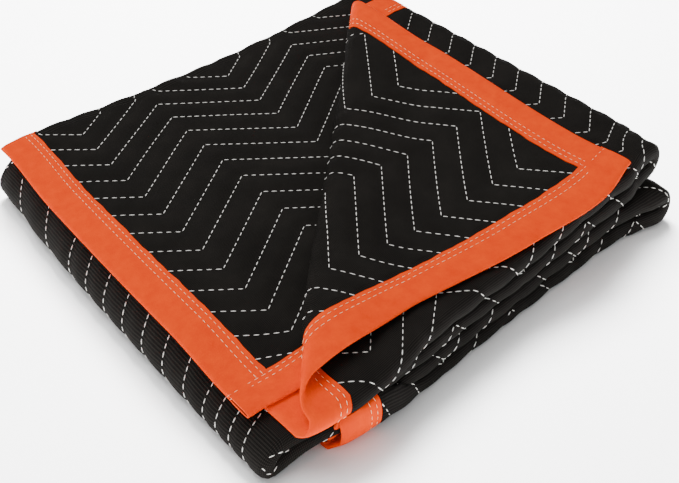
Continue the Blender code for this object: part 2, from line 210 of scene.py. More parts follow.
def settled(x, y, z, run, flap, free):
    """The block's own uneven shape. Run 0 is the top one, and free is true on its bared layer."""
    rest = CLOTH / 2
    held = SAG_HELD * np.clip((z - rest - BUNDLE) / (2 * BUNDLE), 0, 1.2)
    sag = BUNDLE * curve_through(x, SAG_X, SAG) * (1 - held)
    z = np.where(run < 3, z - sag, z)
    z = rest + (z - rest) * (1 + curve_through(x, PUFF_X, PUFF) + curve_through(y, PUFF_Y, PUFF_FRONT))
    near = curve_through(x, END_X, (1, 0))
    front = curve_through(y, PUFF_Y, (1, 0))
    bow = (1 - flap) * curve_through(x, BOW_X, BOW) - flap * curve_through(x, FLAP_OUT_X, FLAP_OUT)
    drawn_in = FREE_IN * curve_through(x, FREE_IN_X, (1, 0))
    y = y + front * (bow + np.where(free, drawn_in, -near * np.choose(run, PUSHED_OUT)))
    z = np.where(run == 0, z - TONGUE_DROP * near * soft_step(*TONGUE_Y, -y), z)
    loop = np.where(run == 3, near * soft_step(*LOOP_Y, -y), 0)
    z = z + loop * ((z - rest) * LOOP_PUFF + LOOP_LIFT)
    x = x + LOOP_RIGHT * loop
    lift = curve_through(y, TIP_Y, (0, 1)) * curve_through(x, (0, END_X[1]), (1, 0))
    z = np.where(run == 0, z + TIP_LIFT * lift, z)
    slump = curve_through(x, SLUMP_X, (1, 0)) * curve_through(y, SLUMP_Y, (1, 0))
    z = rest + (z - rest) * (1 - SLUMP * slump)
    x = x + curve_through(y, SKEW_Y, SKEW) * (1 - x / RIGHT_FOLD_X)
    x = x - BULGE * curve_through(x, BULGE_X, (1, 0)) * curve_through(z, BULGE_Z, (1, 0))
    outer = flap * soft_step(0, FLAP_RIGHT_REACH, (x - y - CREASE_X) / math.sqrt(2))
    x = x + FLAP_RIGHT * outer * curve_through(y, FLAP_RIGHT_Y, (0, 1))
    y = y - BACK_IN * curve_through(y, BACK_IN_Y, (0, 1)) * free
    corner = curve_through(x, CORNER_X, (0, 1)) * front
    x = x - curve_through(z, CORNER_Z, CORNER_LEFT) * corner
    y = y + curve_through(z, CORNER_Z, CORNER_BACK) * corner * (1 - flap)
    return x - ORIGIN_X, y - ORIGIN_Y, z


def folded_place(s, t):
    """The middle of the cloth at (s, t), as rows of x, y, z."""
    s, t = np.asarray(s, float), np.asarray(t, float)
    y, up = across(t)
    drawn = s + slip(s, t)
    x, z, side, over = along(drawn)
    x = x + up * side
    z = z + up * over
    on_top = (drawn < S_FOLDS[0]) & (t > T_FRONT_END)
    x, y, z, flap = turned_back(x, y, z, on_top)
    run = sum((drawn > start + ALONG_ARC / 2).astype(int) for start in S_FOLDS)
    return np.stack(settled(x, y, z, run, flap, (run == 0) & (t < T_BACK)), -1)


def outward(s, t, step=0.0004):
    """The direction that the sheet's upper face points in at (s, t)."""
    run_s = folded_place(s + step, t) - folded_place(s - step, t)
    run_t = folded_place(s, t + step) - folded_place(s, t - step)
    normal = np.cross(run_s, run_t)
    return normal / np.maximum(np.linalg.norm(normal, axis=-1, keepdims=True), 1e-12)


# %% [markdown]
# Quilting draws the two outer cloths together along zigzag rows and lets the batting puff up between them.
# The distance to the nearest row, measured on the flat sheet, gives the height of the face, as a low pillow
# from one row to the next. It fades out under the tape, where the cloth is sewn flat. On the left fold the
# picture's rows lean the other way than these folds alone would give, so the zigzag is moved along the sheet
# there, by nearly half a wave, and back again toward the folds at the front and the back.

# %% The quilted face
ROW = 0.0328
HALF_WAVE = 0.092
WAVE_HEIGHT = 0.0675
FIRST_CORNER = 0.076
FIRST_ROW = 0.0273
FREE_PUFF = 0.0016
FOLD_PUFF = 0.0008
LOWER_PUFF = 0.0002
PILLOW_POWER = 0.75
STITCH_DEPTH = 0.0006
TAPE_GAP = 0.0003
EDGE_CLOTH = CLOTH - 2 * (TAPE + TAPE_GAP)
SHOULDER = 0.004
EASED = 0.02
LEFT_SHIFT, LEFT_SHIFT_S = 0.087, (0.03, 0.25)
SHIFT_AT_BACK, SHIFT_AT_FRONT = 0.14, 0.08
BARED_FROM, TURNED_BLEND = (-0.06, -0.04), 0.004


def swing(s):
    """How far a quilting row has swung to the side at s."""
    return WAVE_HEIGHT * (1 - np.abs(((s - FIRST_CORNER) / HALF_WAVE) % 2 - 1))


def across_middle(t, back, front):
    """1 in the middle third, eased to 0 over the given stretches at its back and front folds."""
    return np.interp(t, (T_BACK_END, T_BACK_END + back, T_FRONT - front, T_FRONT), (0, 1, 1, 0))


def cloth_at(s, t):
    """s as the quilting counts it: the middle third needs less cloth at the first fold, more at the next."""
    ends = [place for start in S_FOLDS[:2] for place in (start, start + ALONG_ARC)]
    short = np.interp(s, ends, (0, 1, 1, 0)) * 2 * ALONG_ARC / 3
    from_fold = np.abs(s - S_FOLDS[1] - ALONG_ARC / 2)
    shift = LEFT_SHIFT * np.interp(from_fold, LEFT_SHIFT_S, (1, 0))
    moved = shift * across_middle(t, SHIFT_AT_BACK, SHIFT_AT_FRONT)
    return s - short * across_middle(t, EASED, EASED) + moved


def to_edge(s, t):
    """The distance to the nearest edge of the sheet."""
    return np.minimum(np.minimum(s, SHEET_LENGTH - s), np.minimum(t, SHEET_WIDTH - t))


def past_crease(s, t):
    """How far a point of the top layer lies beyond the crease."""
    return (FRONT_FOLD_Y + (t - T_FRONT_END) - TOP_END_X - s - slip(s, t) + CREASE_X) / math.sqrt(2)


def bared(s, t):
    """1 on the part of the first third that the turned corner bares, 0 off it."""
    seen = soft_step(*BARED_FROM, (t - s - TOP_END_X + CREASE_X) / math.sqrt(2))
    return seen * (s < S_FOLDS[0]) * (t < T_BACK)


def turned(s, t):
    """1 on the turned corner and 0 off it."""
    rolled = soft_step(-TURNED_BLEND, TURNED_BLEND, past_crease(s, t))
    return rolled * (s < S_FOLDS[0]) * (t > T_FRONT_END)


def face_heights(s, t):
    """How far the upper and the lower face stand off the cloth's middle."""
    shoulder = np.clip((to_edge(s, t) - TAPE_WIDTH) / SHOULDER, 0, 1)
    half = (EDGE_CLOTH + (CLOTH - EDGE_CLOTH) * shoulder) / 2
    rows = (t - FIRST_ROW - swing(cloth_at(s, t))) / ROW
    between = 2 * np.abs(rows - np.round(rows))
    pillow = (0.5 - 0.5 * np.cos(math.pi * between)) ** PILLOW_POWER * shoulder
    under = (s > S_FOLDS[2] + ALONG_ARC) & (t > T_FRONT_END)
    upper = np.where(under, 0, FOLD_PUFF + (FREE_PUFF - FOLD_PUFF) * bared(s, t))
    lower = LOWER_PUFF + FREE_PUFF * turned(s, t)
    dip = STITCH_DEPTH * shoulder * ~under
    lower_dip = dip * turned(s, t)
    return half + pillow * (upper + dip) - dip, half + pillow * (lower + lower_dip) - lower_dip


# %% [markdown]
# The sheet is meshed flat and then folded. A grid fine enough for the quilting would need half a million
# faces, most of them inside the block, so each cell of a coarse grid is cut fine only where its face shows. A
# hidden cell stays one face, whose rim takes in its neighbours' finer points, so that the mesh has no gaps.

# %% Where the sheet shows
FINE = 0.004
COARSE = 0.016
FOLD_PARTS = 10
FRONT_SEEN, BACK_SEEN = (0.016, 0.034), (0.014, 0.012)
LEFT_SEEN, RIGHT_SEEN = (0.03, 0.03), (0.09, 0.05)
BARED_SEEN, TURNED_SEEN = 0.03, 0.02


def is_near(value, start, end, reach):
    """Whether value lies between start and end, or within the reach before or after them."""
    return (value > start - reach[0]) & (value < end + reach[1])


def shows(s, t):
    """Whether a cell of the sheet can be seen from outside the block."""
    s, t = np.broadcast_arrays(s, t)
    seen = is_near(t, T_FRONT, T_FRONT_END, FRONT_SEEN) | is_near(t, T_BACK, T_BACK_END, BACK_SEEN)
    for fold, start in enumerate(S_FOLDS):
        end = start + ALONG_ARC
        if fold == 1:
            seen |= is_near(s, start, end, LEFT_SEEN) & (t > T_BACK_END) & (t < T_FRONT)
        else:
            seen |= is_near(s, start, end, RIGHT_SEEN) & (t > T_FRONT_END)
    seen |= (s < S_FOLDS[0]) & (t < T_BACK) & (t - s > -CREASE_X - TOP_END_X - BARED_SEEN)
    seen |= (s < S_FOLDS[0]) & (t > T_FRONT_END) & (past_crease(s, t) > -TURNED_SEEN)
    return seen


def spaced(start, end, step):
    """Places after start, up to end, at most step apart."""
    count = max(1, math.ceil((end - start) / step - 1e-6))
    return [start + (end - start) * (i + 1) / count for i in range(count)]


def coarse_lines(edges, folds, length):
    """The coarse grid's lines across one direction: close in the folds, and at the tape's shoulder."""
    stops = sorted({0.0, *edges, *(p for fold in folds for p in fold), length})
    lines = [0.0]
    for start, end in zip(stops, stops[1:]):
        folded = any(abs(start - fold[0]) < 1e-9 for fold in folds)
        lines += spaced(start, end, (end - start) / FOLD_PARTS if folded else COARSE)
    return lines


def cut_fine(lines):
    """Each coarse interval's fine places, its own start included."""
    return [[a] + spaced(a, b, FINE)[:-1] for a, b in zip(lines, lines[1:])]


def flat_mesh():
    """Points (s, t) of the flat sheet and its faces, fine only where the sheet shows."""
    rim = (TAPE_WIDTH, TAPE_WIDTH + SHOULDER)
    s_folds = [(start, start + ALONG_ARC) for start in S_FOLDS]
    t_folds = [(T_BACK, T_BACK_END), (T_FRONT, T_FRONT_END)]
    s_lines = coarse_lines((*rim, *(SHEET_LENGTH - r for r in rim)), s_folds, SHEET_LENGTH)
    t_lines = coarse_lines((*rim, *(SHEET_WIDTH - r for r in rim)), t_folds, SHEET_WIDTH)
    s_fine, t_fine = cut_fine(s_lines), cut_fine(t_lines)
    s_start = np.cumsum([0] + [len(c) for c in s_fine])
    t_start = np.cumsum([0] + [len(c) for c in t_fine])
    s_all = [s for cell in s_fine for s in cell] + [SHEET_LENGTH]
    t_all = [t for cell in t_fine for t in cell] + [SHEET_WIDTH]
    s_middle, t_middle = (np.add(l[1:], l[:-1]) / 2 for l in (s_lines, t_lines))
    seen = shows(s_middle[:, None], t_middle[None, :])
    numbers = {}
    faces = []

    def number(i, j):
        return numbers.setdefault((int(i), int(j)), len(numbers))

    def is_seen(i, j):
        return 0 <= i < seen.shape[0] and 0 <= j < seen.shape[1] and seen[i, j]

    for i in range(seen.shape[0]):
        for j in range(seen.shape[1]):
            a0, a1, b0, b1 = s_start[i], s_start[i + 1], t_start[j], t_start[j + 1]
            if seen[i, j]:
                for a in range(a0, a1):
                    for b in range(b0, b1):
                        ring = [(a, b), (a + 1, b), (a + 1, b + 1), (a, b + 1)]
                        faces.append([number(*place) for place in ring])
                continue
            bottom = range(a0, a1) if is_seen(i, j - 1) else (a0,)
            right = range(b0, b1) if is_seen(i + 1, j) else (b0,)
            top = range(a1, a0, -1) if is_seen(i, j + 1) else (a1,)
            left = range(b1, b0, -1) if is_seen(i - 1, j) else (b1,)
            ring = [(a, b0) for a in bottom] + [(a1, b) for b in right]
            ring += [(a, b1) for a in top] + [(a0, b) for b in left]
            faces.append([number(*place) for place in ring])
    places = np.array([(s_all[i], t_all[j]) for i, j in numbers])
    return places, faces


places, flat_faces = flat_mesh()
print("flat sheet:", len(places), "points,", len(flat_faces), "faces")

# %% [markdown]
# A maker's cloth has a thickness, so the folded sheet gets an upper and a lower face and a wall all round its
# edge. The flat coordinates are kept as the UV map, in metres, and the weave will follow them into the folds.

# %% Fold the cloth
def rim_edges(faces):
    """The directed edges that only one face uses."""
    used = {}
    for face in faces:
        for a, b in zip(face, face[1:] + face[:1]):
            used[(a, b)] = True
    return [(a, b) for a, b in used if (b, a) not in used]


def mesh_piece(name, points, faces, flat=None, crease=50):
    """A named mesh object with smooth faces, and its flat coordinates as a UV map."""
    mesh = bpy.data.meshes.new(name)
    mesh.from_pydata(np.asarray(points).tolist(), [], faces)
    mesh.validate()
    if flat is not None:
        layer = mesh.uv_layers.new(name="flat_metres")
        corner = np.zeros(len(mesh.loops), int)
        mesh.loops.foreach_get("vertex_index", corner)
        layer.data.foreach_set("uv", np.asarray(flat, np.float32)[corner].ravel())
    mesh.shade_smooth()
    mesh.set_sharp_from_angle(angle=math.radians(crease))
    piece = bpy.data.objects.new(name, mesh)
    bpy.context.scene.collection.objects.link(piece)
    return piece


def fold_cloth(places, faces):
    """The quilted cloth in its folds, as one closed shell."""
    s, t = places.T
    middle, normal = folded_place(s, t), outward(s, t)
    upper, lower = face_heights(s, t)
    points = np.concatenate([middle + normal * upper[:, None], middle - normal * lower[:, None]])
    points[:, 2] = np.maximum(points[:, 2], 0)
    count = len(places)
    shell = list(faces) + [[i + count for i in reversed(face)] for face in faces]
    shell += [[b, a, a + count, b + count] for a, b in rim_edges(faces)]
    return mesh_piece("quilted_pad", points, shell, np.concatenate([places, places]))


pad = fold_cloth(places, flat_faces)
print("quilted pad:", len(pad.data.polygons), "faces")

# %% [markdown]
# Binding is a strip of tape folded over the raw edge and sewn through with two rows. It is made here as one
# profile carried along the edge: flat on both faces, round at the edge and a little pinched where the rows
# go. At each corner of the sheet one strip laps over the end of the next, as the maker sews them.

# %% The tape's profile
STITCH_ROWS = (0.72, 0.88)
LAP = 0.0005
PROFILE_POINTS = 12
EDGE_ROUND, EDGE_OUT, EDGE_OUT_INSIDE = 0.003, 0.0045, 0.0034
CROWN, PINCH, PINCH_INSIDE, PINCH_WIDTH = 0.0004, 0.0005, 0.0002, 0.0017


def tape_profile(half):
    """(distance in from the edge, height) round the tape's outside, and the same for its inside."""
    outer, inner = [], []
    for d in np.linspace(TAPE_WIDTH, EDGE_ROUND, PROFILE_POINTS):
        share = d / TAPE_WIDTH
        pinch = sum(math.exp(-(((share - row) * TAPE_WIDTH / PINCH_WIDTH) ** 2)) for row in STITCH_ROWS)
        outer.append((d, half + CROWN * math.sin(math.pi * share) - PINCH * pinch))
        inner.append((d, half - TAPE - PINCH_INSIDE * pinch))
    for angle in np.linspace(90, -90, 7)[1:-1]:
        c, h = math.cos(math.radians(angle)), math.sin(math.radians(angle))
        outer.append((EDGE_ROUND - EDGE_OUT * c, half * h))
        inner.append((EDGE_ROUND - EDGE_OUT_INSIDE * c, (half - TAPE) * h))
    outer += [(d, -h) for d, h in reversed(outer[:PROFILE_POINTS])]
    inner += [(d, -h) for d, h in reversed(inner[:PROFILE_POINTS])]
    return outer, inner


TAPE_FINE, TAPE_COARSE = 0.0018, 0.005


def edge_stops(folds, start, end):
    """Places along an edge from start to end, close in the folds."""
    stops = [start] + [p for fold in folds for p in fold if start < p < end] + [end]
    lines = [start]
    for a, b in zip(stops, stops[1:]):
        folded = any(abs(a - fold[0]) < 1e-9 for fold in folds)
        lines += spaced(a, b, TAPE_FINE if folded else TAPE_COARSE)
    return np.array(lines)


# %% Sew on the binding
WAVER_IN, WAVER_UP = 0.0007, 0.00035
LAP_BLEND = 0.004
EDGE_INSET = 0.0006
PROBE = 0.0004
TAPE_OFF_FLOOR = 0.0001


def waver(at, seed):
    """A small, slow waver along a strip, from -1 to 1."""
    return (np.sin(at * 61 + seed) + np.sin(at * 143 + 2.1 * seed) + np.sin(at * 287 + 3.7 * seed)) / 3


def tape_strip(name, axis, at, start, end, seed, lap_start=False):
    """One strip over the edge where s (axis 0) or t (axis 1) is at, from start to end along it."""
    inward = 1 if at == 0 else -1
    if axis == 0:
        folds = [(T_BACK, T_BACK_END), (T_FRONT, T_FRONT_END)]
    else:
        folds = [(first, first + ALONG_ARC) for first in S_FOLDS]
    stops = edge_stops(folds, start, end)
    outer, inner = tape_profile(CLOTH / 2)
    profile = outer + inner[::-1]
    ring = len(profile)
    depth = np.array([d for d, _ in profile])
    height = np.array([h for _, h in profile])
    along_edge = np.repeat(stops, ring)
    slack = np.clip(depth / TAPE_WIDTH, 0, 1)
    inset = np.tile(depth, len(stops)) + np.tile(slack, len(stops)) * WAVER_IN * waver(along_edge, seed)
    from_lap = along_edge - start if lap_start else end - along_edge
    lapped = LAP * (1 - soft_step(TAPE_WIDTH, TAPE_WIDTH + LAP_BLEND, np.abs(from_lap)))
    rise = np.tile(height, len(stops)) * (1 + lapped / (CLOTH / 2))
    rise = rise + np.tile(slack, len(stops)) * WAVER_UP * waver(along_edge * 1.7, seed + 1)
    on_sheet = np.clip(inset, EDGE_INSET, None)
    over = inset - on_sheet
    where = [None, None]
    where[axis] = at + inward * on_sheet
    where[1 - axis] = along_edge
    middle, normal = folded_place(*where), outward(*where)
    inner_place = list(where)
    inner_place[axis] = where[axis] + inward * PROBE
    inward_way = folded_place(*inner_place) - middle
    inward_way /= np.maximum(np.linalg.norm(inward_way, axis=1, keepdims=True), 1e-12)
    points = middle + normal * rise[:, None] + inward_way * over[:, None]
    points[:, 2] = np.maximum(points[:, 2], TAPE_OFF_FLOOR)
    faces = []
    for i in range(len(stops) - 1):
        for k in range(ring):
            a, b = i * ring + k, i * ring + (k + 1) % ring
            faces.append([a, b, b + ring, a + ring])
    half = len(outer)
    for base, flip in ((0, False), ((len(stops) - 1) * ring, True)):
        for k in range(half - 1):
            face = [base + k, base + ring - 1 - k, base + ring - 2 - k, base + k + 1]
            faces.append(face[::-1] if flip else face)
    flat = np.stack([where[0], where[1]], -1)
    flat[:, axis] += inward * over
    piece = mesh_piece(name, points, faces, flat)
    shell = bmesh.new()
    shell.from_mesh(piece.data)
    bmesh.ops.recalc_face_normals(shell, faces=shell.faces)
    shell.to_mesh(piece.data)
    shell.free()
    return piece


UNDER = TAPE_WIDTH - 0.006
PAST = 0.0006
LONG, WIDE = SHEET_LENGTH, SHEET_WIDTH
strips = {
    "binding_long_inner": tape_strip("tape_front", 1, 0.0, -PAST, LONG - UNDER, 1.0, True),
    "binding_end_lower": tape_strip("tape_lower_end", 0, LONG, -PAST, WIDE - UNDER, 2.0, True),
    "binding_long_outer": tape_strip("tape_turned_side", 1, WIDE, UNDER, LONG + PAST, 3.0),
    "binding_end_upper": tape_strip("tape_upper_end", 0, 0.0, UNDER, WIDE + PAST, 4.0),
}
for node, piece in strips.items():
    print(piece.name, "for", node, len(piece.data.polygons), "faces")

# %% [markdown]
# Stitches repeat by the thousand, so Geometry Nodes makes them. The script lays thin guide lines on the faces
# that show, each point with the direction that the face looks in. The tree walks along them, puts down one
# stitch per stitch length, turns it to the line and to the face, and makes real mesh of the result.

# %% One function that adds a node
def add_node(tree, kind, settings=None, links=None):
    """A node with its settings; each link is an input and its value or the socket that feeds it."""
    node = tree.nodes.new(kind)
    for name, value in (settings or {}).items():
        setattr(node, name, value)
    for name, value in (links or {}).items():
        if isinstance(value, bpy.types.NodeSocket):
            tree.links.new(value, node.inputs[name])
        else:
            node.inputs[name].default_value = value
    return node


# %% The tree that sews
SHORTEST, LONGEST = 0.84, 1.06


def sewing_tree():
    """Guide lines in, stitches out."""
    tree = bpy.data.node_groups.new("sew_along_lines", "GeometryNodeTree")
    tree.interface.new_socket("Lines", in_out="INPUT", socket_type="NodeSocketGeometry")
    for name in ("Pitch", "Stitch length", "Thread width", "Thread height"):
        tree.interface.new_socket(name, in_out="INPUT", socket_type="NodeSocketFloat")
    tree.interface.new_socket("Thread", in_out="INPUT", socket_type="NodeSocketMaterial")
    tree.interface.new_socket("Stitches", in_out="OUTPUT", socket_type="NodeSocketGeometry")
    given = add_node(tree, "NodeGroupInput").outputs
    curve = add_node(tree, "GeometryNodeMeshToCurve", links={"Mesh": given["Lines"]})
    walk = add_node(
        tree, "GeometryNodeResampleCurve", {"mode": "LENGTH"},
        {"Curve": curve.outputs["Curve"], "Length": given["Pitch"]},
    )
    tangent = add_node(tree, "GeometryNodeInputTangent")
    facing = add_node(
        tree, "GeometryNodeInputNamedAttribute", {"data_type": "FLOAT_VECTOR"}, {"Name": "facing"}
    )
    turn = add_node(
        tree, "FunctionNodeAxesToRotation", {"primary_axis": "X", "secondary_axis": "Z"},
        {"Primary Axis": tangent.outputs["Tangent"], "Secondary Axis": facing.outputs["Attribute"]},
    )
    vary = add_node(
        tree, "FunctionNodeRandomValue", {"data_type": "FLOAT"}, {2: SHORTEST, 3: LONGEST, "Seed": 7}
    )
    half = [
        add_node(tree, "ShaderNodeMath", {"operation": "MULTIPLY"}, {0: given[name], 1: 0.5}).outputs[0]
        for name in ("Stitch length", "Thread width", "Thread height")
    ]
    long_half = add_node(
        tree, "ShaderNodeMath", {"operation": "MULTIPLY"}, {0: half[0], 1: vary.outputs[1]}
    ).outputs[0]
    size = add_node(tree, "ShaderNodeCombineXYZ", links={"X": long_half, "Y": half[1], "Z": half[2]})
    grain = add_node(tree, "GeometryNodeMeshUVSphere", links={"Segments": 6, "Rings": 4, "Radius": 1.0})
    lie = add_node(
        tree, "GeometryNodeTransform",
        links={"Geometry": grain.outputs["Mesh"], "Rotation": (0, math.pi / 2, 0)},
    )
    sewn = add_node(
        tree, "GeometryNodeInstanceOnPoints",
        links={"Points": walk.outputs["Curve"], "Instance": lie.outputs["Geometry"],
               "Rotation": turn.outputs["Rotation"], "Scale": size.outputs["Vector"]},
    )
    real = add_node(tree, "GeometryNodeRealizeInstances", links={"Geometry": sewn.outputs["Instances"]})
    smooth = add_node(tree, "GeometryNodeSetShadeSmooth", links={0: real.outputs[0]})
    done = add_node(
        tree, "GeometryNodeSetMaterial", links={"Geometry": smooth.outputs[0], "Material": given["Thread"]}
    )
    add_node(tree, "NodeGroupOutput", links={"Stitches": done.outputs["Geometry"]})
    return tree


# %% [markdown]
# The guide lines run on the sheet's face, from one zigzag corner to the next, so that no stitch straddles a
# corner. A line is broken where the cloth is hidden in the block. The quilting counts its place along the
# cloth, and the s that belongs to that count is found in a few rounds, each nearer than the last.

# %% Guide lines for the quilting
PITCH = 0.0072
STEP = 0.002
ROUNDS = 25
OFF_TAPE = 0.001


def seen_runs(s, t, seen):
    """The stretches of a line where seen holds, each as its s and t."""
    runs, start = [], None
    for i, show in enumerate(list(seen) + [False]):
        if show and start is None:
            start = i
        elif not show and start is not None:
            if i - start > 2:
                runs.append((s[start:i], t[start:i]))
            start = None
    return runs


def guide_mesh(name, runs, lift):
    """Lines over the upper face (side 1) or the lower (side -1), each point with the way it faces."""
    points, facing, edges = [], [], []
    for s, t, side, height in runs:
        middle, normal = folded_place(s, t), outward(s, t)
        start = len(points)
        points.extend(middle + normal * (side * (height + lift))[:, None])
        facing.extend(normal * side)
        edges.extend((i, i + 1) for i in range(start, len(points) - 1))
    mesh = bpy.data.meshes.new(name)
    mesh.from_pydata([tuple(p) for p in points], edges, [])
    attribute = mesh.attributes.new("facing", "FLOAT_VECTOR", "POINT")
    attribute.data.foreach_set("vector", np.asarray(facing, np.float32).ravel())
    guide = bpy.data.objects.new(name, mesh)
    bpy.context.scene.collection.objects.link(guide)
    return guide


def quilting_runs():
    """Every stretch of quilting row that shows, on the face where it shows."""
    runs = []
    first = math.ceil((-FIRST_ROW - WAVE_HEIGHT) / ROW)
    last = math.floor((SHEET_WIDTH - FIRST_ROW) / ROW)
    first_corner = math.floor(-FIRST_CORNER / HALF_WAVE)
    last_corner = math.ceil((SHEET_LENGTH - FIRST_CORNER) / HALF_WAVE)
    trim = PITCH / 2 * HALF_WAVE / math.hypot(HALF_WAVE, WAVE_HEIGHT)
    for row in range(first, last + 1):
        for corner in range(first_corner, last_corner):
            start = FIRST_CORNER + corner * HALF_WAVE
            on_line = np.arange(start + trim, start + HALF_WAVE - trim, STEP)
            t = FIRST_ROW + row * ROW + swing(on_line)
            s = on_line
            for _ in range(ROUNDS):
                s = s + on_line - cloth_at(s, t)
            on_cloth = (to_edge(s, t) > TAPE_WIDTH + OFF_TAPE) & (folded_place(s, t)[:, 2] > CLOTH)
            over = (s < S_FOLDS[0]) & (t > T_FRONT_END) & (past_crease(s, t) > 0)
            for run_s, run_t in seen_runs(s, t, on_cloth & shows(s, t) & ~over):
                runs.append((run_s, run_t, 1, face_heights(run_s, run_t)[0]))
            for run_s, run_t in seen_runs(s, t, on_cloth & over):
                runs.append((run_s, run_t, -1, face_heights(run_s, run_t)[1]))
    return runs


# %% Guide lines for the binding
ON_TAPE = CLOTH / 2 + 0.0001


def tape_runs():
    """The two rows on each stretch of tape that shows."""
    last = S_FOLDS[2] + ALONG_ARC
    # Columns: s is fixed (0) or t is (1), where, from, to, side
    shown = [
        (0, 0.0, TAPE_WIDTH, T_BACK_END, 1),
        (0, 0.0, T_FRONT - 0.02, SHEET_WIDTH, 1),
        (0, 0.0, T_FRONT_END + 0.002, SHEET_WIDTH, -1),
        (1, 0.0, 0.0, 0.13, 1),
        (1, SHEET_WIDTH, TAPE_WIDTH, S_FOLDS[0] - 0.02, -1),
        (1, SHEET_WIDTH, S_FOLDS[0] - 0.03, S_FOLDS[0] + ALONG_ARC + 0.03, 1),
        (0, SHEET_LENGTH, T_FRONT - 0.03, SHEET_WIDTH - TAPE_WIDTH, 1),
        (1, SHEET_WIDTH, last, SHEET_LENGTH, 1),
    ]
    runs = []
    for axis, at, start, end, side in shown:
        for share in STITCH_ROWS:
            along_edge = np.arange(start, end, STEP)
            across_it = np.full_like(along_edge, abs(at - share * TAPE_WIDTH))
            s, t = (across_it, along_edge) if axis == 0 else (along_edge, across_it)
            for run_s, run_t in seen_runs(s, t, folded_place(s, t)[:, 2] > CLOTH):
                runs.append((run_s, run_t, side, np.full_like(run_s, ON_TAPE)))
    return runs


# %% [markdown]
# Colours are given as sRGB hex, as a paint chart or a picture gives them, and one function turns them into
# the linear values that the shader works in.

# %% Colours
def from_hex(code):
    """A linear colour from sRGB hex."""
    parts = [int(code[i:i + 2], 16) / 255 for i in (1, 3, 5)]
    return (*[p / 12.92 if p <= 0.04045 else ((p + 0.055) / 1.055) ** 2.4 for p in parts], 1.0)


# %% [markdown]
# The pad's outer cloth is a plain-woven black polyester. Its threads are about 0.6 mm apart on a real pad,
# too fine for this picture, so the weave is drawn with ribs 1.1 mm apart and threads 1.3 mm apart. Dust and
# wear make it lighter in slow patches, and lint in fine ones. The tops of the threads are painted lighter:
# a painted highlight where light would catch the weave.

# %% Woven cloth
def new_finish(name, roughness):
    """An empty material with its shader and its tree."""
    finish = bpy.data.materials.new(name)
    finish.use_nodes = True
    tree = finish.node_tree
    shader = tree.nodes["Principled BSDF"]
    shader.inputs["Roughness"].default_value = roughness
    return finish, tree, shader


def in_millimetres(tree):
    """The place on the flat sheet, in millimetres."""
    flat = add_node(tree, "ShaderNodeUVMap", {"uv_map": "flat_metres"}).outputs["UV"]
    return add_node(
        tree, "ShaderNodeMapping", links={"Vector": flat, "Scale": (1000, 1000, 1000)}
    ).outputs[0]


def times_plus(tree, value, times, plus):
    """value * times + plus, as a socket."""
    links = {0: value, 1: times, 2: plus}
    return add_node(tree, "ShaderNodeMath", {"operation": "MULTIPLY_ADD"}, links).outputs[0]


def colour_ramp(tree, shader, factor, places, codes):
    """The base colour runs from the first colour to the second between two places of the factor."""
    ramp = add_node(tree, "ShaderNodeValToRGB", links={"Fac": factor})
    for stop, place, code in zip(ramp.color_ramp.elements, places, codes):
        stop.position = place
        stop.color = from_hex(code)
    tree.links.new(ramp.outputs["Color"], shader.inputs["Base Color"])


def bumped(tree, shader, height, strength, distance):
    """Relief by the height, up to a distance in metres."""
    links = {"Height": height, "Strength": strength, "Distance": distance}
    bump = add_node(tree, "ShaderNodeBump", links=links)
    tree.links.new(bump.outputs["Normal"], shader.inputs["Normal"])


def noise(tree, place, size, detail, roughness=0.5):
    """Noise whose patches are about the given size, in the units of the place."""
    links = {"Vector": place, "Scale": 1 / size, "Detail": detail, "Roughness": roughness}
    return add_node(tree, "ShaderNodeTexNoise", links=links).outputs["Fac"]


def bands(tree, place, direction, period, distortion):
    """Waves across a direction with the given period, in the units of the place."""
    # A wave texture's scale of 1 is 20 bands in 2 pi of a unit, so 1 / period needs pi / 10
    links = {"Vector": place, "Scale": math.pi / 10 / period, "Distortion": distortion}
    links |= {"Detail": 1.0, "Detail Scale": 0.4}
    return add_node(tree, "ShaderNodeTexWave", {"bands_direction": direction}, links).outputs["Fac"]


def woven_cloth():
    """Black woven cloth: ribs, threads, dust and lint, and a painted highlight on the thread tops."""
    finish, tree, shader = new_finish("black_woven_polyester", 0.92)
    shader.inputs["Specular IOR Level"].default_value = 0.06
    place = in_millimetres(tree)
    ribs = bands(tree, place, "X", 1.1, 0.6)
    threads = bands(tree, place, "Y", 1.3, 0.5)
    weave = times_plus(tree, threads, 0.9, ribs)
    dust = noise(tree, place, 45, 4.0, 0.6)
    slow = add_node(tree, "ShaderNodeMath", {"operation": "MULTIPLY"}, {0: dust, 1: 0.45}).outputs[0]
    lint = noise(tree, place, 1.6, 2.0, 0.7)
    # The weave's tops lighten the colour: a painted highlight on the threads, not a colour of the cloth
    thread_highlight = add_node(tree, "ShaderNodeMath", {"operation": "POWER"}, {0: weave, 1: 3.0}).outputs[0]
    mixed = times_plus(tree, lint, 0.15, times_plus(tree, thread_highlight, 0.14, slow))
    colour_ramp(tree, shader, mixed, (0.3, 1.3), ("#0a0908", "#292623"))
    bumped(tree, shader, weave, 0.3, 0.0004)
    return finish


cloth_finish = woven_cloth()

# %% [markdown]
# The binding is a spun polyester tape, dyed orange. It is smooth beside the cloth, with a faint grain of
# 1.5 mm, soft puckers of 14 mm and a dye that is a little uneven with them.

# %% Binding tape
def orange_tape():
    """Orange polyester tape: grain, puckers, uneven dye."""
    finish, tree, shader = new_finish("orange_polyester_tape", 0.8)
    shader.inputs["Specular IOR Level"].default_value = 0.03
    place = in_millimetres(tree)
    dye = noise(tree, place, 14, 5.0, 0.62)
    grain = noise(tree, place, 1.5, 2.0)
    colour_ramp(tree, shader, dye, (0.3, 0.7), ("#d63800", "#e64300"))
    bumped(tree, shader, times_plus(tree, dye, 3.0, grain), 0.4, 0.0005)
    return finish


tape_finish = orange_tape()

# %% [markdown]
# The thread is spun polyester too, two plies twisted. White for the quilting and cream for the binding, it is
# matt, and only a fine noise breaks its colour.

